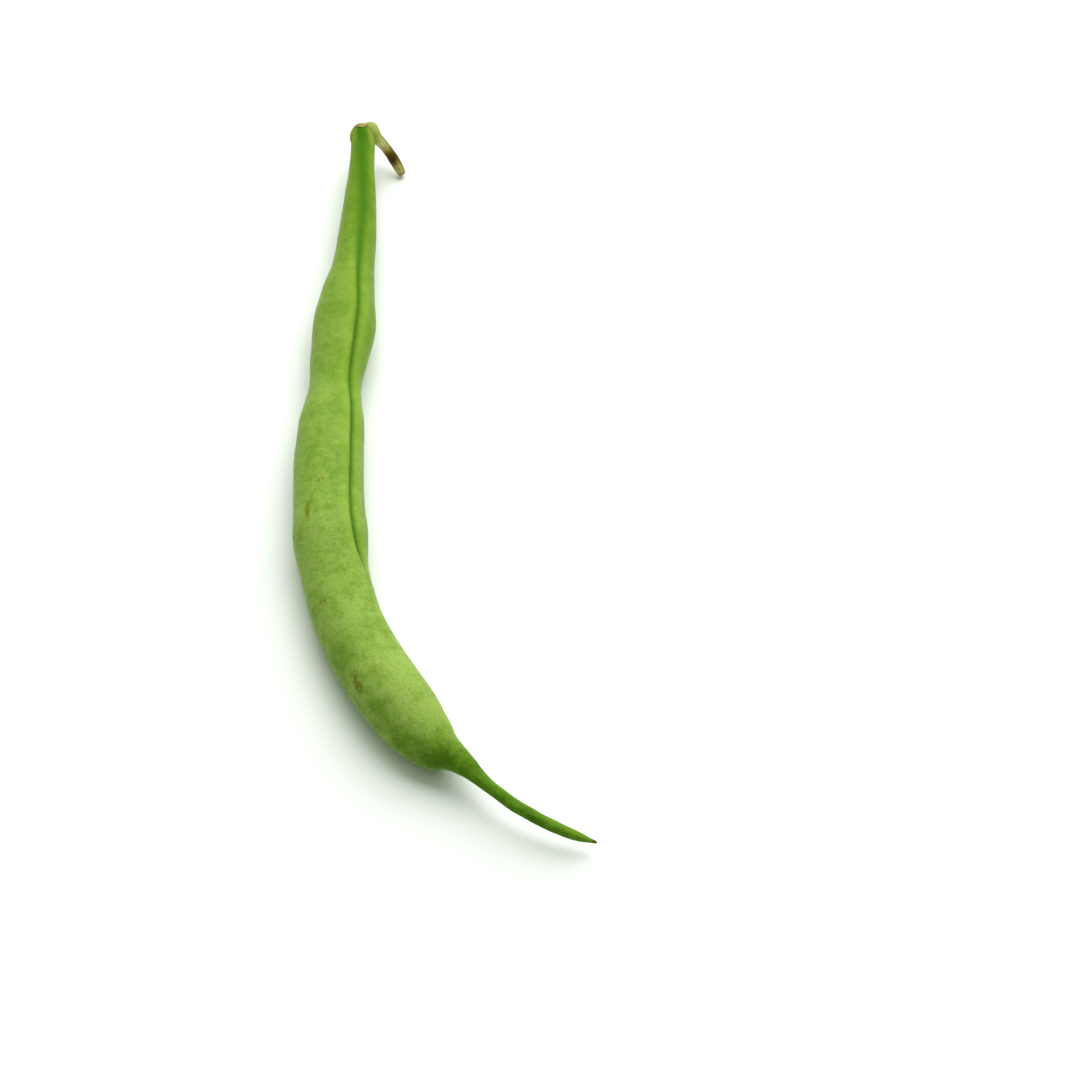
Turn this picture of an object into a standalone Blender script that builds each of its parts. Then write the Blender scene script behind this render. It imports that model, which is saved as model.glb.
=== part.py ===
# A green bean (snap bean) lying on a surface, as picked: the pod with its drawn-out beak, the dried
# calyx round its stem end, and the pedicel, bent over until it touches the surface.
# The origin is under the middle of the bean, on the surface. The stem end points to +Y, the beak to -Y.
# Lengths are in millimetres until the meshes are made.
import bmesh
import bpy
import numpy as np

MM = 0.001  # metres in a millimetre

# Places along the pod, from the shoulder of its stem end to its tip. Each row holds the middle (x, y, z),
# the breadth over the two valves, the depth from seam to seam, and how far the string seam is turned from
# straight up (0 degrees) towards +X (90 degrees).
POD_PLACES = (
    (-12.35, 56.3, 5.6, 2.8, 2.85, -4),
    (-12.42, 55.4, 5.45, 3.45, 3.4, -4),
    (-12.38, 54.1, 5.25, 3.4, 3.5, -1),
    (-12.35, 50.0, 5.1, 3.4, 3.8, 6),
    (-12.33, 45.0, 4.9, 4.15, 4.5, 14),
    (-12.42, 38.0, 4.6, 5.05, 5.7, 18),
    (-12.83, 30.0, 4.4, 5.9, 7.0, 20),
    (-13.27, 25.5, 4.35, 7.1, 8.0, 26),
    (-13.45, 20.5, 4.3, 7.95, 8.6, 30),
    (-13.82, 15.0, 4.2, 7.35, 8.1, 33),
    (-14.12, 9.7, 4.15, 6.6, 7.4, 36),
    (-14.27, 3.0, 4.35, 8.1, 8.7, 41),
    (-14.27, -4.1, 4.5, 8.45, 9.0, 45),
    (-13.93, -10.2, 4.45, 8.8, 8.9, 42),
    (-13.4, -15.8, 4.6, 8.9, 9.2, 41),
    (-12.6, -21.2, 4.2, 8.2, 8.5, 54),
    (-10.95, -27.2, 4.05, 8.1, 8.35, 76),
    (-8.65, -32.5, 4.0, 8.1, 8.35, 87),
    (-5.7, -37.7, 4.1, 8.1, 8.45, 93),
    (-3.65, -40.75, 3.95, 7.85, 8.15, 95),
    (-1.5, -43.6, 3.6, 6.9, 7.2, 97),
    (0.4, -45.6, 3.5, 5.5, 5.8, 98),
    (2.1, -46.9, 3.75, 3.6, 3.9, 98),
    (3.8, -48.65, 4.25, 2.5, 2.7, 98),
    (6.2, -51.2, 4.5, 1.55, 1.7, 98),
    (9.9, -54.25, 4.3, 1.4, 1.55, 98),
    (14.2, -56.38, 3.4, 1.3, 1.45, 98),
    (17.2, -57.33, 2.65, 0.9, 1.05, 98),
    (18.7, -57.65, 2.3, 0.5, 0.55, 98),
)
POD_ROUND = 28  # points round the pod
POD_STEP = 1.4  # between its rings
STEM_DOME = 0.4  # how far the stem end bulges past the shoulder
TIP_DOME = 0.2
BELLY_FLAT = 0.12  # how deep the resting belly is pressed flat

# Seeds swell both valves: distance from the shoulder, swelling of each valve.
SEEDS = ((36.2, 0.15), (60.2, 0.2), (72.2, 0.25), (84.7, 0.2), (96.7, 0.25))
SEED_SPREAD = 3.2

FIT_GAP = 0.3  # between touching pieces

# The calyx: a thin dried collar round the pod's stem end, with its rim torn into lobes.
CALYX_WALL = 0.22
CALYX_BACK = 0.05  # its back edge, measured along the pod from the shoulder
CALYX_RIM = 0.35  # its rim between the lobes
CALYX_LOBES = 5
CALYX_LOBE_LENGTH = 0.6
CALYX_ROUND = 40
CALYX_ROWS = 6

# Places along the pedicel, from its swollen seat in the calyx to its cut end: middle (x, y, z), diameter.
PEDICEL_PLACES = (
    (-11.75, 57.35, 5.95, 1.3),
    (-11.2, 57.6, 6.05, 1.7),
    (-10.5, 57.5, 5.95, 1.75),
    (-9.75, 57.0, 5.4, 1.5),
    (-9.2, 56.15, 4.7, 1.4),
    (-8.75, 55.2, 3.75, 1.4),
    (-8.15, 54.15, 2.5, 1.4),
    (-7.1, 52.8, 0.5, 1.45),
)
PEDICEL_ROUND = 20
PEDICEL_RINGS = 30

POD_GREEN = (0.27, 0.42, 0.08, 1)
CALYX_BROWN = (0.32, 0.2, 0.09, 1)
PEDICEL_GREEN = (0.42, 0.45, 0.13, 1)


def clear_scene():
    for thing in list(bpy.data.objects):
        bpy.data.objects.remove(thing)


def smooth_curve(knots, values, places):
    """Values at the given places on a smooth curve that passes through every knot."""
    slopes = np.gradient(values, knots, axis=0)
    low = np.clip(np.searchsorted(knots, places, side="right") - 1, 0, len(knots) - 2)
    gap = knots[low + 1] - knots[low]
    t = ((places - knots[low]) / gap)[:, None]
    gap = gap[:, None]
    start = (1 + 2 * t) * (1 - t) ** 2 * values[low] + t * (1 - t) ** 2 * gap * slopes[low]
    end = t**2 * (3 - 2 * t) * values[low + 1] + t**2 * (t - 1) * gap * slopes[low + 1]
    return start + end


def distances(points):
    """How far along the route each point lies."""
    steps = np.linalg.norm(np.diff(points, axis=0), axis=1)
    return np.concatenate(([0], np.cumsum(steps)))


def unit(vectors):
    return vectors / np.linalg.norm(vectors, axis=-1, keepdims=True)


class Pod:
    """The pod's surface, as points at a distance from the shoulder, an angle from the string seam and a
    height above the skin."""

    def __init__(self):
        self.table = np.array(POD_PLACES, float)
        self.knots = distances(self.table[:, :3])
        self.length = self.knots[-1]

    def frame(self, along):
        """Middle, direction, seam side and valve side, and the half depth and half breadth."""
        along = min(max(along, 0), self.length)
        near = np.array([along, min(along + 0.01, self.length), max(along - 0.01, 0)])
        row, after, before = smooth_curve(self.knots, self.table, near)
        ahead = unit(after[:3] - before[:3])
        right = unit(np.cross((0, 0, 1), ahead))
        up = np.cross(ahead, right)
        turn = np.radians(row[5])
        seam = up * np.cos(turn) + right * np.sin(turn)
        valve = right * np.cos(turn) - up * np.sin(turn)
        swell = sum(size * np.exp(-(((along - at) / SEED_SPREAD) ** 2)) for at, size in SEEDS)
        return row[:3], ahead, seam, valve, row[4] / 2, row[3] / 2 + swell

    def point(self, along, angle, out=0.0):
        """Places before the shoulder lie on the stem end's dome, and those past the length on the tip's."""
        middle, ahead, seam, valve, depth, breadth = self.frame(along)
        shrink = 1.0
        if along < 0:
            bend = min(-along / STEM_DOME, 1) * np.pi / 2
            middle = middle - ahead * (STEM_DOME + out) * np.sin(bend)
            shrink = np.cos(bend)
        if along > self.length:
            bend = min((along - self.length) / TIP_DOME, 1) * np.pi / 2
            middle = middle + ahead * TIP_DOME * np.sin(bend)
            shrink = np.cos(bend)
        across = seam * (depth + out) * np.cos(angle) + valve * (breadth + out) * np.sin(angle)
        return middle + across * shrink


def wrap_grid(name, around, rows, place):
    """A closed mesh from a grid whose columns run round the piece and whose rows run along it: the places
    that meet are joined, at the seam and where a row shrinks to a point."""
    bm = bmesh.new()
    bmesh.ops.create_grid(bm, x_segments=around, y_segments=rows, size=0.5)
    for vert in bm.verts:
        turn = (vert.co.x + 0.5) * 2 * np.pi
        vert.co = place(turn, vert.co.y + 0.5) * MM
    bmesh.ops.remove_doubles(bm, verts=bm.verts, dist=1e-7)
    bmesh.ops.recalc_face_normals(bm, faces=bm.faces)
    mesh = bpy.data.meshes.new(name)
    bm.to_mesh(mesh)
    bm.free()
    mesh.shade_smooth()
    return mesh


def add_part(name, mesh, colour, roughness, collection):
    material = bpy.data.materials.new(name)
    material.use_nodes = True
    shader = material.node_tree.nodes["Principled BSDF"]
    shader.inputs["Base Color"].default_value = colour
    shader.inputs["Roughness"].default_value = roughness
    shader.inputs["Metallic"].default_value = 0.0
    mesh.materials.append(material)
    collection.objects.link(bpy.data.objects.new(name, mesh))


def pod_mesh(pod):
    """The body lies on its belly, which is pressed flat along the surface."""
    stem_dome = -STEM_DOME * np.array([1, 0.8, 0.6, 0.4, 0.2])
    tip_dome = pod.length + TIP_DOME * np.array([0.5, 1])
    body = np.linspace(0, pod.length, round(pod.length / POD_STEP) + 1)
    places = np.concatenate((stem_dome, body, tip_dome))

    def place(turn, share):
        point = pod.point(places[round(share * (len(places) - 1))], turn)
        point[2] = max(point[2] - BELLY_FLAT, 0)
        return point

    return wrap_grid("pod", POD_ROUND, len(places) - 1, place)


def calyx_mesh(pod):
    """Along the outside from the back edge to the lobed rim, and back along the inside."""
    outer, inner = FIT_GAP + CALYX_WALL, FIT_GAP

    rows = 2 * (CALYX_ROWS + 1)

    def place(turn, share):
        row = round(share * rows) % rows
        outside = row <= CALYX_ROWS
        step = row if outside else rows - 1 - row
        lobe = abs(np.cos(turn * CALYX_LOBES / 2)) ** 1.5
        rim = CALYX_RIM + CALYX_LOBE_LENGTH * lobe
        along = CALYX_BACK + step / CALYX_ROWS * (rim - CALYX_BACK)
        point = pod.point(along, turn, outer if outside else inner)
        return point - (0, 0, BELLY_FLAT)

    return wrap_grid("calyx", CALYX_ROUND, rows, place)


def pedicel_mesh():
    """A tube that starts at its seat as a shallow dome and ends in a flat cut."""
    table = np.array(PEDICEL_PLACES)
    knots = distances(table[:, :3])
    places = np.linspace(0, knots[-1], PEDICEL_RINGS)
    rows = smooth_curve(knots, table, places)
    ahead = unit(np.gradient(rows[:, :3], axis=0))
    side = unit(np.cross(ahead, (1, 0, 0)))
    other = np.cross(ahead, side)

    def place(turn, share):
        ring = round(share * (PEDICEL_RINGS + 1)) - 1
        radius = 0 if ring < 0 or ring == PEDICEL_RINGS else rows[ring, 3] / 2
        ring = min(max(ring, 0), PEDICEL_RINGS - 1)
        spoke = side[ring] * np.cos(turn) + other[ring] * np.sin(turn)
        return rows[ring, :3] + spoke * radius

    return wrap_grid("pedicel", PEDICEL_ROUND, PEDICEL_RINGS + 1, place)


def main():
    clear_scene()
    bean = bpy.data.collections.new("green_bean")
    bpy.context.scene.collection.children.link(bean)
    pod = Pod()
    add_part("pod", pod_mesh(pod), POD_GREEN, 0.5, bean)
    add_part("calyx", calyx_mesh(pod), CALYX_BROWN, 0.8, bean)
    add_part("pedicel", pedicel_mesh(), PEDICEL_GREEN, 0.6, bean)


main()
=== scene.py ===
# A green bean as picked: the pod, the dried calyx round its stem end and the bent pedicel.
import math

import bmesh
import bpy
import numpy as np
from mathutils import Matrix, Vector, noise


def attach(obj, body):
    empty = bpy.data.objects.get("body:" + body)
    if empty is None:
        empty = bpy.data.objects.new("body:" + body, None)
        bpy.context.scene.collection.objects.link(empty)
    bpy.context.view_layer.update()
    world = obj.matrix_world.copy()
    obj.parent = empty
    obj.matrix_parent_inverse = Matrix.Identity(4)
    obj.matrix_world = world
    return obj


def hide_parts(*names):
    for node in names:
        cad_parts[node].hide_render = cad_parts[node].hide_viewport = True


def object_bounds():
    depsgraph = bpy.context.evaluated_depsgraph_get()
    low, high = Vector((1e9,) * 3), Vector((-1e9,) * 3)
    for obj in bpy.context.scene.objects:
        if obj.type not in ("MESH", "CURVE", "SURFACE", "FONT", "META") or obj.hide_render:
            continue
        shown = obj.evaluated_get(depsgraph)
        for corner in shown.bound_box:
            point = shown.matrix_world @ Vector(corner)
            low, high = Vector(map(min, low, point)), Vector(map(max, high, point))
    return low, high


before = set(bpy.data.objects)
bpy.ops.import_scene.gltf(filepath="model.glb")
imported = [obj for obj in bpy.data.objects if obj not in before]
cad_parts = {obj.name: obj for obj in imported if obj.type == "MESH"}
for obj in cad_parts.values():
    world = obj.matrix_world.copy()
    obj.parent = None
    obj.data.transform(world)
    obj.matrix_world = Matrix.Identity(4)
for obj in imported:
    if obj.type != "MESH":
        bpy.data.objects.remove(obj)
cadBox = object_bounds()
cadMiddle = (cadBox[0] + cadBox[1]) / 2
print("frame loaded with", len(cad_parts), "nodes")

mm = 0.001  # metres in a millimetre; lengths are in millimetres until rollGrid makes the mesh


# Shared tools: smooth curves, rolled grids and shader nodes

def smoothCurve(knots, values, places):
    slopes = np.gradient(values, knots, axis=0)
    low = np.clip(np.searchsorted(knots, places, side="right") - 1, 0, len(knots) - 2)
    gap = (knots[low + 1] - knots[low])[:, None]
    t = (places - knots[low])[:, None] / gap
    start = (1 + 2 * t) * (1 - t) ** 2 * values[low] + t * (1 - t) ** 2 * gap * slopes[low]
    end = t**2 * (3 - 2 * t) * values[low + 1] + t**2 * (t - 1) * gap * slopes[low + 1]
    return start + end


def distancesAlong(points):
    return np.concatenate(([0], np.cumsum(np.linalg.norm(np.diff(points, axis=0), axis=1))))


def unit(vectors):
    return vectors / np.linalg.norm(vectors, axis=-1, keepdims=True)


def followRoute(knots, table, along):  # the table's values there, and the direction of the route
    step = 0.01
    after = smoothCurve(knots, table, np.minimum(along + step, knots[-1]))
    before = smoothCurve(knots, table, np.maximum(along - step, 0))
    return smoothCurve(knots, table, along), unit(after[:, :3] - before[:, :3])


def bell(offset, width):
    return np.exp(-((offset / width) ** 2))


def rise(value, start, end):  # 0 before start, 1 after end
    t = np.clip((value - start) / (end - start), 0, 1)
    return t * t * (3 - 2 * t)


def softNoise(points, scale, seed=0.0):  # between about -1 and 1
    shift = Vector((seed, -seed, 2 * seed))
    return np.array([noise.noise(Vector(point) * scale + shift) for point in points])


def rollGrid(name, columns, rows, place):
    # columns run round the piece and rows along it; what meets is merged into one closed skin
    bm = bmesh.new()
    bmesh.ops.create_grid(bm, x_segments=columns, y_segments=rows, size=0.5)
    flat = np.array([vert.co[:2] for vert in bm.verts]) + 0.5
    points, marks = place(flat[:, 0] * 2 * np.pi - np.pi, flat[:, 1])
    layers = {label: bm.verts.layers.float.new(label) for label in marks}
    for i, vert in enumerate(bm.verts):
        vert.co = points[i] * mm
        for label, layer in layers.items():
            vert[layer] = marks[label][i]
    bmesh.ops.remove_doubles(bm, verts=bm.verts, dist=1e-7)
    bmesh.ops.recalc_face_normals(bm, faces=bm.faces)
    mesh = bpy.data.meshes.new(name)
    bm.to_mesh(mesh)
    bm.free()
    mesh.shade_smooth()
    piece = bpy.data.objects.new(name, mesh)
    bpy.context.scene.collection.objects.link(piece)
    return piece


def newMaterial(name):
    material = bpy.data.materials.new(name)
    material.use_nodes = True
    return material, material.node_tree, material.node_tree.nodes["Principled BSDF"]


def addNode(tree, kind, inputs, **settings):
    made = tree.nodes.new("ShaderNode" + kind)
    for key, value in settings.items():
        setattr(made, key, value)
    for key, value in inputs.items():
        if isinstance(value, bpy.types.NodeSocket):
            tree.links.new(value, made.inputs[key])
        else:
            made.inputs[key].default_value = value
    return made


def placeInMm(tree, stretch=(1, 1, 1)):
    where = addNode(tree, "TexCoord", {})
    scale = tuple(1000 * side for side in stretch)
    return addNode(tree, "Mapping", {"Vector": where.outputs["Object"], "Scale": scale}).outputs[0]


def mark(tree, name):
    return addNode(tree, "Attribute", {}, attribute_name=name).outputs["Fac"]


def noiseAt(tree, place, scale, detail=2.0, rough=0.5):
    inputs = {"Vector": place, "Scale": scale, "Detail": detail, "Roughness": rough}
    return addNode(tree, "TexNoise", inputs).outputs["Fac"]


def fitRange(tree, value, fromLow, fromHigh, toLow=0.0, toHigh=1.0):
    inputs = {"Value": value, "From Min": fromLow, "From Max": fromHigh, "To Min": toLow}
    inputs["To Max"] = toHigh
    return addNode(tree, "MapRange", inputs, interpolation_type="SMOOTHSTEP").outputs[0]


def calculate(tree, operation, first, second):
    return addNode(tree, "Math", {0: first, 1: second}, operation=operation).outputs[0]


def times(tree, first, second):
    return calculate(tree, "MULTIPLY", first, second)


def mixColour(tree, share, first, second, blend="MIX"):
    inputs = {0: share, 6: first, 7: second}  # factor, colour A, colour B
    return addNode(tree, "Mix", inputs, data_type="RGBA", blend_type=blend).outputs[2]


def rampColour(tree, value, stops):
    ramp = addNode(tree, "ValToRGB", {"Fac": value})
    elements = ramp.color_ramp.elements
    elements.remove(elements[1])
    elements[0].position, elements[0].color = stops[0]
    for position, colour in stops[1:]:
        elements.new(position).color = colour
    return ramp.outputs[0]


def bumpFrom(tree, height, distance, strength, normal=None):
    inputs = {"Height": height, "Distance": distance, "Strength": strength}
    if normal:
        inputs["Normal"] = normal
    return addNode(tree, "Bump", inputs).outputs[0]


# Pod

pod = {
    # middle x y z, breadth over the valves, depth seam to seam, degrees of the string seam from up to +X
    "places": (
        (-12.35, 56.3, 5.6, 2.8, 2.85, -4), (-12.42, 55.4, 5.45, 3.45, 3.4, -4),
        (-12.38, 54.1, 5.25, 3.4, 3.5, -1), (-12.35, 50.0, 5.1, 3.4, 3.8, 6),
        (-12.33, 45.0, 4.9, 4.15, 4.5, 14), (-12.42, 38.0, 4.6, 5.05, 5.7, 18),
        (-12.83, 30.0, 4.4, 5.9, 7.0, 20), (-13.27, 25.5, 4.35, 7.1, 8.0, 26),
        (-13.45, 20.5, 4.3, 7.95, 8.6, 30), (-13.82, 15.0, 4.2, 7.35, 8.1, 33),
        (-14.12, 9.7, 4.15, 6.6, 7.4, 36), (-14.27, 3.0, 4.35, 8.1, 8.7, 41),
        (-14.27, -4.1, 4.5, 8.45, 9.0, 45), (-13.93, -10.2, 4.45, 8.8, 8.9, 42),
        (-13.4, -15.8, 4.6, 8.9, 9.2, 41), (-12.6, -21.2, 4.2, 8.2, 8.5, 54),
        (-10.95, -27.2, 4.05, 8.1, 8.35, 76), (-8.65, -32.5, 4.0, 8.1, 8.35, 87),
        (-5.7, -37.7, 4.1, 8.1, 8.45, 93), (-3.65, -40.75, 3.95, 7.85, 8.15, 95),
        (-1.5, -43.6, 3.6, 6.9, 7.2, 97), (0.4, -45.6, 3.5, 5.5, 5.8, 98),
        (2.1, -46.9, 3.75, 3.6, 3.9, 98), (3.8, -48.65, 4.25, 2.5, 2.7, 98),
        (6.2, -51.2, 4.5, 1.55, 1.7, 98), (9.9, -54.25, 4.3, 1.4, 1.55, 98),
        (14.2, -56.38, 3.4, 1.3, 1.45, 98), (17.2, -57.33, 2.65, 0.9, 1.05, 98),
        (18.7, -57.65, 2.3, 0.5, 0.55, 98),
    ),
    "stemDome": 0.55,
    "tipDome": 0.2,
    "bellyFlat": 0.12,
    "contactRound": 0.08,  # how softly the belly rounds off into its resting strip
    "seeds": ((36.2, 0.15), (60.2, 0.2), (72.2, 0.25), (84.7, 0.2), (96.7, 0.25)),  # place, swelling
    "seedSpread": 3.2,
    "neckEnds": (18, 33),  # here the neck has turned into the body
    "beakStarts": (101, 109),
    "seamHides": (75.5, 80.5),  # here the string seam sinks into the belly
    "seamReturns": (83, 91),
    "seamsEnd": (116, 122),
    "seamWander": 0.1,
    "seamTint": 0.34,  # half the width of the dark line in the seam
    "grooveWidth": 0.42,
    "grooveDepth": 0.27,
    "lipHeight": 0.11,
    "lipAside": 1.05,
    "keelHeight": 0.1,
    "hollowDepth": 0.12,
    "lumpHeight": 0.1,
    "neckRidges": 0.045,
    "beakRidges": 0.055,
    "tipThinning": 0.12,
    "columns": 160,
    "bodyRows": 590,
    # marks: distance from the shoulder, degrees from the string seam, size along and across, strength
    # tones are broad: darker where the strength is positive, paler where it is negative; many are the
    # skin's own patches, and some are painted light:
    # a painted highlight lightens the beak's upper side, at 117 and 123.5 mm
    # painted light brightens the other flank, at -75 to -88 degrees
    # painted shade darkens the flank beyond the string seam, at 10 to 62 degrees
    "tonesAndPaintedLight": (
        (97.0, -65, 6.0, 3.2, -0.6), (104.0, -60, 4.0, 3.2, -0.8), (107.5, -150, 2.4, 2.4, 1.0),
        (103.0, -147, 2.2, 1.6, 0.6), (98.8, -144, 2.4, 1.5, 0.6), (90.5, -135, 2.6, 1.4, 0.6),
        (99.3, -121, 2.4, 1.8, -0.8), (84.0, -125, 5.0, 2.4, -0.6), (83.0, -82, 2.0, 1.5, 0.3),
        (75.0, -80, 3.2, 4.0, -0.6), (64.0, -98, 3.0, 1.4, -0.5), (59.0, -65, 2.2, 1.6, 0.5),
        (72.0, -38, 5.0, 2.5, -0.1), (71.0, 10, 3.0, 1.5, 0.3), (48.0, -68, 2.5, 1.8, 0.3),
        (55.0, -20, 2.5, 2.0, -0.2), (49.0, -15, 3.5, 2.2, 0.4), (46.0, 28, 5.0, 1.4, 0.4),
        (39.0, 22, 2.0, 1.0, -0.3), (34.0, -58, 5.0, 1.2, 0.3), (12.0, 90, 8.0, 1.2, -0.3),
        (14.0, -88, 10.0, 1.0, -0.6), (37.0, 62, 9.0, 1.8, 1.2), (61.0, 52, 16.0, 1.5, 1.1),
        (80.0, 150, 12.0, 3.0, 0.4), (45.0, 170, 9.0, 2.5, 0.3), (30.0, -150, 7.0, 2.0, 0.35),
        (45.0, -80, 38.0, 2.0, -0.45), (50.0, 20, 36.0, 1.8, 0.25), (8.0, -75, 14.0, 0.8, -0.5),
        (117.0, -50, 5.0, 0.6, -0.6), (123.5, -40, 2.6, 1.2, -1.2),
    ),
    "scars": (
        (66.0, -51, 0.4, 0.6, 1.0), (67.3, -55, 1.0, 0.25, 0.5), (70.4, -73, 1.2, 0.35, 1.3),
        (71.0, -58, 0.4, 0.4, 0.7), (70.6, -33, 0.4, 0.7, 0.6), (72.2, -86, 0.8, 0.5, 0.5),
        (73.2, -97, 0.9, 0.7, 0.48), (73.5, -54, 0.5, 0.5, 0.5), (80.2, -60, 1.5, 1.4, 0.25),
        (83.2, -111, 0.7, 0.9, 0.8), (83.2, -141, 1.1, 0.6, 0.7), (95.0, -107, 0.9, 0.8, 0.7),
        (95.2, -147, 0.8, 0.5, 1.9), (94.2, -141, 0.5, 0.4, 0.9), (99.2, -123, 0.8, 0.9, 0.55),
        (52.7, -66, 1.8, 0.8, 0.25), (42.0, -3, 0.4, 0.25, 1.0), (46.8, -3, 0.4, 0.25, 1.0),
        (68.9, -66, 1.0, 0.25, 0.6), (101.5, -100, 0.5, 0.5, 0.35), (88.0, -95, 0.5, 0.4, 0.35),
        (30.7, 150, 0.6, 0.5, 0.8), (56.7, 118, 0.8, 0.4, 0.9), (63.7, 96, 0.5, 0.6, 0.7),
        (77.7, 165, 0.9, 0.5, 1.0), (88.7, 128, 0.5, 0.5, 0.9), (101.7, 60, 0.6, 0.4, 0.6),
        (45.7, -150, 0.7, 0.5, 0.8), (61.7, 172, 0.5, 0.4, 0.9), (86.7, 160, 0.6, 0.5, 0.8),
    ),
    # the skin is mottled between these two greens, from the stem end (0) to the tip (1)
    "lightGreens": (
        (0.0, (0.14, 0.27, 0.013, 1)), (0.06, (0.17, 0.30, 0.020, 1)), (0.17, (0.22, 0.35, 0.035, 1)),
        (0.28, (0.26, 0.39, 0.065, 1)), (0.40, (0.28, 0.41, 0.070, 1)), (0.56, (0.29, 0.42, 0.078, 1)),
        (0.72, (0.31, 0.44, 0.085, 1)), (0.79, (0.31, 0.43, 0.085, 1)), (0.83, (0.22, 0.35, 0.045, 1)),
        (0.865, (0.12, 0.24, 0.010, 1)), (0.9, (0.11, 0.24, 0.012, 1)), (1.0, (0.13, 0.26, 0.018, 1)),
    ),
    "darkGreens": (
        (0.0, (0.08, 0.19, 0.003, 1)), (0.17, (0.12, 0.24, 0.010, 1)), (0.28, (0.15, 0.28, 0.017, 1)),
        (0.40, (0.155, 0.29, 0.022, 1)), (0.56, (0.15, 0.285, 0.022, 1)), (0.72, (0.15, 0.27, 0.020, 1)),
        (0.79, (0.13, 0.25, 0.012, 1)), (0.83, (0.07, 0.16, 0.003, 1)), (0.865, (0.045, 0.12, 0.001, 1)),
        (0.9, (0.048, 0.13, 0.001, 1)), (1.0, (0.045, 0.125, 0.001, 1)),
    ),
    "patchScales": (0.22, 0.8),  # broad and smaller patches; a higher scale is finer
    "toneAndPaintedLightStrength": 0.16,
    "grainScale": 3.4,
    "speckShare": 0.36,
    "speckColour": (0.05, 0.14, 0.004, 1),
    "paleShare": 0.22,
    "paleColour": (0.40, 0.55, 0.12, 1),
    # mark on the mesh, how strongly it tints the skin, and its colour
    "tints": (
        # the lips' paler green is partly the skin's colour and partly a painted highlight along the raised
        # lips
        ("lip", 0.25, (0.33, 0.48, 0.05, 1)), ("seamBand", 0.86, (0.048, 0.16, 0.0005, 1)),
        ("keel", 0.5, (0.08, 0.20, 0.004, 1)), ("stemPale", 0.7, (0.30, 0.40, 0.06, 1)),
    ),
    "scarColour": (0.15, 0.16, 0.0, 1),
    "tipColour": (0.05, 0.025, 0.01, 1),
    "specular": 0.035,
    "velvet": 0.22,  # sheen of the skin, none in the seam
    "velvetTint": (0.95, 1.0, 0.72, 1),
    "lightThrough": 0.3,  # how much light soaks into the skin
    "lightReach": (0.6, 1.0, 0.15),  # how far its red, green and blue go, in steps of lightStep
    "lightStep": 0.0014,
}

podTable = np.array(pod["places"], float)
podKnots = distancesAlong(podTable[:, :3])
podLength = podKnots[-1]


def podFrame(along):
    # middle, direction, seam side, valve side, half depth and half breadth
    along = np.clip(along, 0, podLength)
    rows, ahead = followRoute(podKnots, podTable, along)
    right = unit(np.cross((0, 0, 1), ahead))
    up = np.cross(ahead, right)
    turn = np.radians(rows[:, 5:6])
    seam = up * np.cos(turn) + right * np.sin(turn)
    valve = right * np.cos(turn) - up * np.sin(turn)
    swell = sum(size * bell(along - at, pod["seedSpread"]) for at, size in pod["seeds"])
    return rows[:, :3], ahead, seam, valve, rows[:, 4] / 2, rows[:, 3] / 2 + swell


def podSkin(along, turn, out):
    # places before the shoulder lie on the stem end's dome, and those past the length on the tip's
    middle, ahead, seam, valve, depth, breadth = podFrame(along)
    before = np.clip(-along / pod["stemDome"], 0, 1) * np.pi / 2
    past = np.clip((along - podLength) / pod["tipDome"], 0, 1) * np.pi / 2
    push = pod["tipDome"] * np.sin(past) - (pod["stemDome"] + out) * np.sin(before)
    shrink = (np.cos(before) * np.cos(past))[:, None]
    towardsSeam = seam * ((depth + out) * np.cos(turn))[:, None]
    towardsValve = valve * ((breadth + out) * np.sin(turn))[:, None]
    return middle + ahead * push[:, None] + (towardsSeam + towardsValve) * shrink


def restOnFloor(points):
    # the belly settles softly on the surface
    height = points[:, 2] - pod["bellyFlat"]
    points[:, 2] = (height + np.sqrt(height**2 + pod["contactRound"] ** 2)) / 2
    return points


def paintMarks(marks, along, turn, breadth):
    paint = np.zeros(len(along))
    for at, degrees, long, wide, strength in marks:
        offset = (turn - math.radians(degrees) + np.pi) % (2 * np.pi) - np.pi
        paint += strength * bell(along - at, long) * bell(offset * breadth, wide)
    return paint


def podRings():
    stem = -pod["stemDome"] * np.linspace(1, 0, 12, endpoint=False) ** 1.5
    tip = podLength + pod["tipDome"] * np.linspace(0, 1, 7)[1:]
    return np.concatenate((stem, np.linspace(0, podLength, pod["bodyRows"]), tip))


def seamReach(along):
    # the string seam sinks nearly out of sight at the bend, comes back fainter and ends on the beak
    hidden = rise(along, *pod["seamHides"]) * (1 - 0.65 * rise(along, *pod["seamReturns"]))
    return (1 - 0.9 * hidden) * (1 - rise(along, *pod["seamsEnd"]))


def stringSeam(along, turn, breadth, neck, beak):
    # a groove between two lips, wide and shallow on the neck
    wander = pod["seamWander"] * softNoise(np.column_stack((along, along * 0, along * 0)), 0.21)
    aside = breadth * np.sin(turn) - wander
    reach = seamReach(along) * (np.cos(turn) > 0)
    grooveWidth = pod["grooveWidth"] + 0.25 * neck - 0.15 * beak
    grooveDepth = pod["grooveDepth"] - 0.15 * neck - 0.05 * beak
    groove = bell(aside, grooveWidth) * rise(along, 0.5, 4) * reach
    # the lips stand up beside the groove; their mark also paints a highlight along them
    lip = bell(np.abs(aside) - pod["lipAside"], 0.65) * (1 - neck) * (1 - beak) * reach
    bandWidth = pod["seamTint"] + 0.55 * neck - 0.05 * beak + 0.4 * (1 - rise(along, 2, 12))
    seamBand = bell(aside + 0.1 * neck, bandWidth) * rise(along, -0.3, 0.8) * reach
    stemPale = 1 - 0.7 * rise(along, 1.2, 4.6) - 0.3 * rise(along, 6, 16)
    marks = {"seamBand": seamBand, "lip": lip, "stemPale": stemPale * rise(np.abs(aside), 0.5, 1.3)}
    return pod["lipHeight"] * lip - grooveDepth * groove, marks


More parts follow.
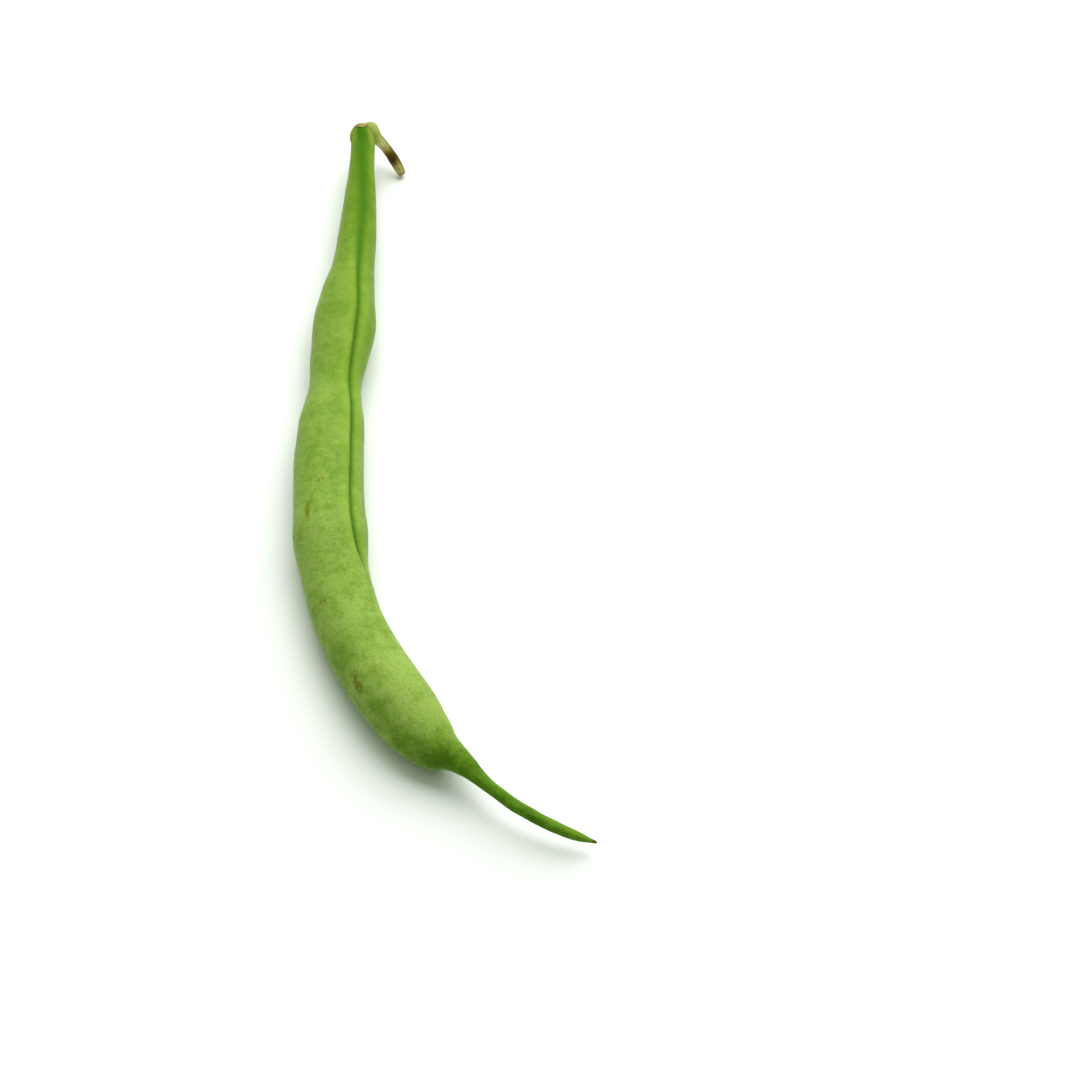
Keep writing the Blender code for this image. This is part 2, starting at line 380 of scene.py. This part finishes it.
def bellySeam(along, turn, breadth, beak):
    # a fine keel between two shallow hollows, nearly gone round the bend
    aside = breadth * np.sin(turn)
    bare = rise(along, 62, 78) * (1 - rise(along, 106, 112))
    fade = (np.cos(turn) <= 0) * rise(along, 0.5, 4) * (1 - rise(along, *pod["seamsEnd"]))
    keel = bell(aside, 0.3) * fade * (1 - 0.85 * bare)
    hollow = bell(np.abs(aside) - 0.75, 0.4) * fade * (1 - beak) * (1 - bare)
    return (pod["keelHeight"] - 0.07 * beak) * keel - pod["hollowDepth"] * hollow, keel


def wallLumps(skin, along, turn, neck, beak):
    # lumps of the wall, and shallow ridges along the neck and the beak
    body = (1 - beak) * (1 - 0.6 * neck)
    relief = body * (pod["lumpHeight"] * softNoise(skin, 0.17) + 0.035 * softNoise(skin, 0.5, 3.1))
    relief += (0.012 + 0.006 * body) * softNoise(skin, 1.5, 7.7)
    ridges = np.column_stack((np.cos(turn) * 2.3, np.sin(turn) * 2.3, along * 0.06))
    height = pod["neckRidges"] * neck + pod["beakRidges"] * beak
    relief += height * softNoise(ridges, 1.0, 1.9) * rise(along, -0.3, 1.5)
    kinks = np.column_stack((np.cos(turn) * 0.8, np.sin(turn) * 0.8, along * 0.55))
    return relief + 0.06 * beak * softNoise(kinks, 1.0, 5.3) * (1 - rise(along, 122, podLength))


def placePod(turn, share):
    rings = podRings()
    along = rings[np.rint(share * (len(rings) - 1)).astype(int)]
    turn = turn - 0.35 * np.sin(2 * turn)  # closer columns at both seams
    breadth = podFrame(along)[5]
    neck = 1 - rise(along, *pod["neckEnds"])
    beak = rise(along, *pod["beakStarts"])
    relief, marks = stringSeam(along, turn, breadth, neck, beak)
    keelRelief, keel = bellySeam(along, turn, breadth, beak)
    skin = podSkin(along, turn, np.zeros(len(along)))
    relief += keelRelief + wallLumps(skin, along, turn, neck, beak)
    relief -= pod["tipThinning"] * rise(along, podLength - 2.5, podLength)  # the tip runs to a point
    scar = paintMarks(pod["scars"], along, turn, breadth)
    # the tone marks: the skin's own patches, with painted shade and painted light on the flanks and beak
    toneAndPaintedLight = paintMarks(pod["tonesAndPaintedLight"], along, turn, breadth)
    points = restOnFloor(podSkin(along, turn, relief))
    return points, {**marks, "along": along, "keel": keel, "scar": scar, "toneAndPaintedLight": toneAndPaintedLight}


def addSpecks(tree, place, along, grain, colour):  # dark and pale, stronger past the middle
    low = fitRange(tree, along, 0.35, 0.62, 0.45, 1.0)
    specks = times(tree, fitRange(tree, grain, 0.45, 0.70, 0.0, pod["speckShare"]), low)
    colour = mixColour(tree, specks, colour, pod["speckColour"])
    pale = fitRange(tree, noiseAt(tree, place, 4.4, 2.0), 0.5, 0.72, 0.0, pod["paleShare"])
    pale = times(tree, times(tree, pale, low), fitRange(tree, along, 0.86, 0.80, 0.25, 1.0))
    return mixColour(tree, pale, colour, pod["paleColour"])


def addTints(tree, place, along, colour):  # lips, with a painted highlight along them, seams, the paler shoulder, scars and the dried tip
    for name, strength, tint in pod["tints"]:
        colour = mixColour(tree, times(tree, mark(tree, name), strength), colour, tint)
    ragged = fitRange(tree, noiseAt(tree, place, 2.2, 4.0, 0.7), 0.34, 0.58, 0.15, 1.0)
    scar = fitRange(tree, times(tree, mark(tree, "scar"), ragged), 0.02, 0.9, 0.0, 0.85)
    colour = mixColour(tree, scar, colour, pod["scarColour"])
    tip = fitRange(tree, along, 0.9965, 0.9985, 0.0, 0.9)
    return mixColour(tree, tip, colour, pod["tipColour"])


def podMaterial():
    material, tree, shader = newMaterial("podSkin")
    place = placeInMm(tree)
    along = calculate(tree, "DIVIDE", mark(tree, "along"), podLength)
    broad = noiseAt(tree, place, pod["patchScales"][0], 4.0, 0.6)
    blotch = noiseAt(tree, place, pod["patchScales"][1], 4.0, 0.62)
    across = placeInMm(tree, (0.8, 1.25, 1.25))  # the grain is drawn out across the pod
    grain = noiseAt(tree, across, pod["grainScale"], 3.0, 0.6)
    mottle = calculate(tree, "ADD", times(tree, broad, 0.4), times(tree, blotch, 0.5))
    # the tone marks shift the mottle, painting shade and light as well as the skin's own tone
    mottle = calculate(tree, "SUBTRACT", mottle, times(tree, mark(tree, "toneAndPaintedLight"), pod["toneAndPaintedLightStrength"]))
    light = rampColour(tree, along, pod["lightGreens"])
    dark = rampColour(tree, along, pod["darkGreens"])
    colour = mixColour(tree, fitRange(tree, mottle, 0.62, 0.28), light, dark)
    colour = addSpecks(tree, place, along, grain, colour)
    colour = addTints(tree, place, along, colour)
    velvet = fitRange(tree, mark(tree, "seamBand"), 0.0, 0.8, pod["velvet"], 0.0)
    coarse = bumpFrom(tree, blotch, 0.0002, 0.35)
    tree.links.new(colour, shader.inputs["Base Color"])
    tree.links.new(fitRange(tree, mottle, 0.35, 0.65, 0.5, 0.62), shader.inputs["Roughness"])
    tree.links.new(bumpFrom(tree, grain, 0.00008, 0.5, coarse), shader.inputs["Normal"])
    tree.links.new(velvet, shader.inputs["Sheen Weight"])
    shader.inputs["Sheen Roughness"].default_value = 0.3
    shader.inputs["Sheen Tint"].default_value = pod["velvetTint"]
    shader.inputs["Specular IOR Level"].default_value = pod["specular"]
    shader.inputs["Subsurface Weight"].default_value = pod["lightThrough"]
    shader.inputs["Subsurface Radius"].default_value = pod["lightReach"]
    shader.inputs["Subsurface Scale"].default_value = pod["lightStep"]
    return material


podPiece = rollGrid("beanPod", pod["columns"], len(podRings()) - 1, placePod)
podPiece.data.materials.append(podMaterial())
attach(podPiece, "root")
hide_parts("pod")
print("pod made:", len(podPiece.data.polygons), "faces")


# Calyx: a thin dried cup on the stem end, its rim torn into lobes

calyx = {
    "columns": 180,
    "wallRows": 30,
    "wall": 0.11,
    "lobes": 5,
    "rim": 0.12,  # how far the rim reaches over the shoulder between the lobes
    "lobeLength": 0.5,
    "longLobe": 3.2,  # how much longer the lobe away from the pedicel is, in lobe lengths
    "longLobeAt": -1.45,  # its turn round the pod, in radians from the string seam
    "hug": 0.03,  # how far the inside stands off the pod's skin
    "tornCoarse": 0.16,
    "tornFine": 0.08,
    "wrinkles": 0.05,
    "curl": 0.03,
    "dryColours": (
        (0.30, (0.16, 0.08, 0.02, 1)), (0.45, (0.32, 0.20, 0.06, 1)), (0.58, (0.40, 0.34, 0.11, 1)),
        (0.75, (0.46, 0.45, 0.21, 1)),
    ),
    "freshColours": ((0.3, (0.20, 0.30, 0.03, 1)), (0.7, (0.36, 0.42, 0.08, 1))),
    "longLobeColours": ((0.35, (0.38, 0.44, 0.11, 1)), (0.6, (0.54, 0.62, 0.24, 1))),
    "edgeColour": (0.15, 0.06, 0.02, 1),
    "roughness": 0.82,
    "specular": 0.2,
}


def placeCalyx(turn, share):
    rows = 2 * calyx["wallRows"] + 1
    row = np.rint(share * rows)
    outside = row <= calyx["wallRows"]
    reach = np.where(outside, row, rows - row) / calyx["wallRows"]  # 0 on the dome, 1 at the rim
    around = np.column_stack((np.cos(turn), np.sin(turn), turn * 0))
    longLobe = bell(turn - calyx["longLobeAt"], 0.55)
    lobe = np.abs(np.cos((turn + 1.35) * calyx["lobes"] / 2 + 0.3 * np.sin(turn))) ** 1.4
    lobe += calyx["longLobe"] * longLobe
    torn = calyx["tornCoarse"] * softNoise(around, 4.0, 2.2)
    torn += calyx["tornFine"] * softNoise(around, 11.0, 4.4)
    rim = calyx["rim"] + calyx["lobeLength"] * lobe + torn
    along = -pod["stemDome"] + (rim + pod["stemDome"]) * reach
    wrinkle = np.column_stack((np.cos(turn) * 3.4, np.sin(turn) * 3.4, reach * 0.9))
    lift = calyx["wrinkles"] * (softNoise(wrinkle, 1.0, 8.8) + 0.5 * softNoise(wrinkle, 3.0, 1.1))
    lift = np.maximum(lift - 0.04 * reach**2 + 0.02, 0) * rise(reach, 0, 0.35)
    curl = calyx["curl"] * reach**3 * (0.5 + 0.8 * softNoise(around, 2.4, 6.1)) * (1 - 0.8 * longLobe)
    thick = np.where(outside, calyx["wall"] * (1 - 0.85 * reach**2), 0)
    points = podSkin(along, turn, calyx["hug"] + lift + curl + thick)
    points[:, 2] -= pod["bellyFlat"]
    return points, {"reach": reach, "longLobe": longLobe}


def calyxMaterial():
    material, tree, shader = newMaterial("calyxPaper")
    reach = mark(tree, "reach")
    fibre = noiseAt(tree, placeInMm(tree, (3.0, 0.8, 3.0)), 1.6, 4.0, 0.65)  # runs along the pod
    patch = noiseAt(tree, placeInMm(tree), 0.9, 3.0, 0.6)
    dry = rampColour(tree, fibre, calyx["dryColours"])
    fresh = rampColour(tree, patch, calyx["freshColours"])
    green = times(tree, fitRange(tree, reach, 0.75, 0.4), fitRange(tree, patch, 0.35, 0.6, 0.3, 1.0))
    colour = mixColour(tree, green, dry, fresh)
    edge = fitRange(tree, reach, 0.93, 1.0, 0.0, 0.15)
    colour = mixColour(tree, edge, colour, calyx["edgeColour"])
    pale = rampColour(tree, fibre, calyx["longLobeColours"])
    longLobe = fitRange(tree, mark(tree, "longLobe"), 0.1, 0.7, 0.0, 0.85)
    colour = mixColour(tree, times(tree, longLobe, fitRange(tree, reach, 0.3, 0.6)), colour, pale)
    tree.links.new(colour, shader.inputs["Base Color"])
    shader.inputs["Roughness"].default_value = calyx["roughness"]
    shader.inputs["Specular IOR Level"].default_value = calyx["specular"]
    tree.links.new(bumpFrom(tree, fibre, 0.00012, 0.8), shader.inputs["Normal"])
    return material


calyxPiece = rollGrid("beanCalyx", calyx["columns"], 2 * calyx["wallRows"] + 1, placeCalyx)
calyxPiece.data.materials.append(calyxMaterial())
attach(calyxPiece, "root")
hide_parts("calyx")
print("calyx made:", len(calyxPiece.data.polygons), "faces")


# Pedicel: the little stem, from its swollen seat in the calyx to its cut end on the surface

pedicel = {
    # middle x y z, diameter
    "places": (
        (-12.1, 56.45, 5.55, 1.3), (-11.7, 56.55, 5.8, 1.7), (-11.2, 56.2, 5.95, 1.9),
        (-10.9, 55.6, 5.7, 1.85), (-10.55, 55.3, 5.2, 1.7), (-10.1, 55.15, 4.6, 1.5),
        (-9.3, 54.85, 3.7, 1.4), (-8.4, 54.1, 2.6, 1.4), (-7.5, 53.2, 1.25, 1.3),
        (-7.05, 52.75, 0.55, 1.05),
    ),
    "columns": 72,
    "rows": 170,
    "capRows": 8,
    "seatDome": 0.3,
    "ridgeHeight": 0.075,
    "cutSlant": 0.18,
    "awaySide": (0.8, 0.45, 0.4),  # the side turned away from the pod
    "waver": 0.14,  # how far the bands of colour stray, as a share of the stem
    # from the seat (0) to the cut (1)
    "colours": (
        (0.0, (0.26, 0.36, 0.02, 1)), (0.22, (0.38, 0.46, 0.06, 1)), (0.30, (0.58, 0.60, 0.17, 1)),
        (0.38, (0.72, 0.70, 0.30, 1)), (0.48, (0.46, 0.41, 0.11, 1)), (0.56, (0.15, 0.08, 0.004, 1)),
        (0.61, (0.075, 0.038, 0.001, 1)), (0.70, (0.055, 0.028, 0.001, 1)), (0.75, (0.18, 0.13, 0.025, 1)),
        (0.82, (0.42, 0.37, 0.10, 1)), (0.90, (0.48, 0.44, 0.15, 1)), (0.96, (0.26, 0.19, 0.045, 1)),
        (1.0, (0.12, 0.07, 0.015, 1)),
    ),
    "knobColours": (
        (0.32, (0.27, 0.35, 0.045, 1)), (0.5, (0.33, 0.40, 0.07, 1)), (0.68, (0.38, 0.42, 0.12, 1)),
    ),
    "streakColour": (0.22, 0.16, 0.03, 1),
    "awayColour": (0.12, 0.08, 0.008, 1),
    "cutColour": (0.22, 0.15, 0.05, 1),
    "roughness": 0.68,
    "specular": 0.12,
}

pedicelTable = np.array(pedicel["places"], float)
pedicelKnots = distancesAlong(pedicelTable[:, :3])
pedicelLength = pedicelKnots[-1]
pedicelRows = pedicel["rows"] + 2 * pedicel["capRows"]


def pedicelRelief(turn, along):
    around = np.column_stack((np.cos(turn) * 1.9, np.sin(turn) * 1.9, along * 0.22))
    lumps = np.column_stack((np.cos(turn) * 0.9, np.sin(turn) * 0.9, along * 0.9))
    relief = pedicel["ridgeHeight"] * softNoise(around, 1.0, 9.3) + 0.03 * softNoise(around, 2.6, 2.7)
    slant = pedicel["cutSlant"] * softNoise(around * (1, 1, 0), 1.2, 3.3)
    return relief + 0.05 * softNoise(lumps, 1.0, 4.9), slant


def placePedicel(turn, share):
    capRows = pedicel["capRows"]
    step = np.rint(share * pedicelRows) - capRows  # below 0 on the seat's dome, above rows on the cut
    along = np.clip(step / pedicel["rows"], 0, 1) * pedicelLength
    route, ahead = followRoute(pedicelKnots, pedicelTable, along)
    side = unit(np.cross(ahead, (1, 0, 0)))
    other = np.cross(ahead, side)
    dome = np.clip(-step / capRows, 0, 1) * np.pi / 2
    cut = np.clip((step - pedicel["rows"]) / capRows, 0, 1)
    relief, slant = pedicelRelief(turn, along)
    radius = (route[:, 3] / 2 + relief) * np.cos(dome) * (1 - cut)
    push = slant * (1 - cut) * rise(along, pedicelLength - 0.5, pedicelLength)
    push += 0.1 * np.sin(cut * np.pi) - 0.12 * rise(cut, 0.4, 1) - pedicel["seatDome"] * np.sin(dome)
    spoke = side * np.cos(turn)[:, None] + other * np.sin(turn)[:, None]
    points = route[:, :3] + spoke * radius[:, None] + ahead * push[:, None]
    height = points[:, 2]
    points[:, 2] = (height + np.sqrt(height**2 + 0.03)) / 2  # the cut end rounds off on the floor
    away = spoke @ np.array(pedicel["awaySide"])
    return points, {"along": along + 0.5 * cut, "cut": cut, "away": away}


def pedicelMaterial():
    material, tree, shader = newMaterial("pedicelStem")
    place = placeInMm(tree)
    along = calculate(tree, "DIVIDE", mark(tree, "along"), pedicelLength + 0.5)
    waver = calculate(tree, "SUBTRACT", noiseAt(tree, place, 1.1, 3.0), 0.5)
    along = calculate(tree, "ADD", along, times(tree, waver, pedicel["waver"]))
    streak = noiseAt(tree, placeInMm(tree, (1.0, 0.45, 0.5)), 3.0, 4.0, 0.65)
    streaks = fitRange(tree, streak, 0.42, 0.68, 0.0, 0.4)
    colour = rampColour(tree, along, pedicel["colours"])
    colour = mixColour(tree, streaks, colour, pedicel["streakColour"], "DARKEN")
    away = fitRange(tree, mark(tree, "away"), 0.35, 0.95, 0.0, 0.75)
    colour = mixColour(tree, away, colour, pedicel["awayColour"], "DARKEN")
    knob = rampColour(tree, noiseAt(tree, place, 1.6, 4.0, 0.65), pedicel["knobColours"])
    colour = mixColour(tree, fitRange(tree, along, 0.20, 0.32), knob, colour)
    cut = fitRange(tree, mark(tree, "cut"), 0.05, 0.5)
    colour = mixColour(tree, cut, colour, pedicel["cutColour"])
    tree.links.new(colour, shader.inputs["Base Color"])
    shader.inputs["Roughness"].default_value = pedicel["roughness"]
    shader.inputs["Specular IOR Level"].default_value = pedicel["specular"]
    shader.inputs["Sheen Weight"].default_value = 0.05
    tree.links.new(bumpFrom(tree, streak, 0.0001, 0.6), shader.inputs["Normal"])
    return material


pedicelPiece = rollGrid("beanPedicel", pedicel["columns"], pedicelRows, placePedicel)
pedicelPiece.data.materials.append(pedicelMaterial())
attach(pedicelPiece, "root")
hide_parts("pedicel")
print("pedicel made:", len(pedicelPiece.data.polygons), "faces")


# Floor, light and camera

studio = {  # lengths in metres
    "floorSize": 4.0,
    "floorWhite": 0.94,
    "skyStrength": 0.21,
    "skyTint": (0.85, 1.0, 0.82),
    "keyPlace": (0.20, 0.53, 0.77),
    "keySize": 1.2,
    "keyPower": 15.2,
    "topPlace": (-0.08, -0.08, 0.9),
    "topSize": 1.0,
    "topPower": 2.0,
    "cameraElevation": 52,
    "cameraDistance": 0.32,
    "cameraAim": (0.0123, -0.01256),  # from the middle of the bean, on the floor
    "cameraLens": 85,
}


def makeFloor():
    bm = bmesh.new()
    bmesh.ops.create_grid(bm, x_segments=1, y_segments=1, size=studio["floorSize"] / 2)
    mesh = bpy.data.meshes.new("floor")
    bm.to_mesh(mesh)
    bm.free()
    material, _, shader = newMaterial("floorPaper")
    white = studio["floorWhite"]
    shader.inputs["Base Color"].default_value = (white, white, white, 1)
    shader.inputs["Roughness"].default_value = 0.9
    shader.inputs["Specular IOR Level"].default_value = 0.0
    mesh.materials.append(material)
    floor = bpy.data.objects.new("floor", mesh)
    bpy.context.scene.collection.objects.link(floor)


def addLamp(name, colour):
    data = bpy.data.lights.new(name + "Light", "AREA")
    data.size = studio[name + "Size"]
    data.energy = studio[name + "Power"]
    data.color = colour
    lamp = bpy.data.objects.new(name + "Light", data)
    lamp.location = studio[name + "Place"]
    lamp.rotation_euler = (-lamp.location).to_track_quat("-Z", "Y").to_euler()
    bpy.context.scene.collection.objects.link(lamp)


def makeLight():
    world = bpy.data.worlds.new("studioSky")
    world.use_nodes = True
    sky = world.node_tree.nodes["Background"]
    sky.inputs["Color"].default_value = (*studio["skyTint"], 1)
    sky.inputs["Strength"].default_value = studio["skyStrength"]
    bpy.context.scene.world = world
    addLamp("key", (1, 1, 1))
    addLamp("top", studio["skyTint"])


def makeCamera():
    aim = Vector((cadMiddle.x + studio["cameraAim"][0], cadMiddle.y + studio["cameraAim"][1], 0))
    tilt = math.radians(studio["cameraElevation"])
    back = Vector((0, -math.cos(tilt), math.sin(tilt))) * studio["cameraDistance"]
    lens = bpy.data.cameras.new("camera")
    lens.lens = studio["cameraLens"]
    lens.clip_start = 0.01
    camera = bpy.data.objects.new("camera", lens)
    camera.location = aim + back
    camera.rotation_euler = (math.pi / 2 - tilt, 0, 0)
    bpy.context.scene.collection.objects.link(camera)
    bpy.context.scene.camera = camera


makeFloor()
makeLight()
makeCamera()
bpy.context.scene.view_settings.view_transform = "Standard"
print("floor, light and camera ready")
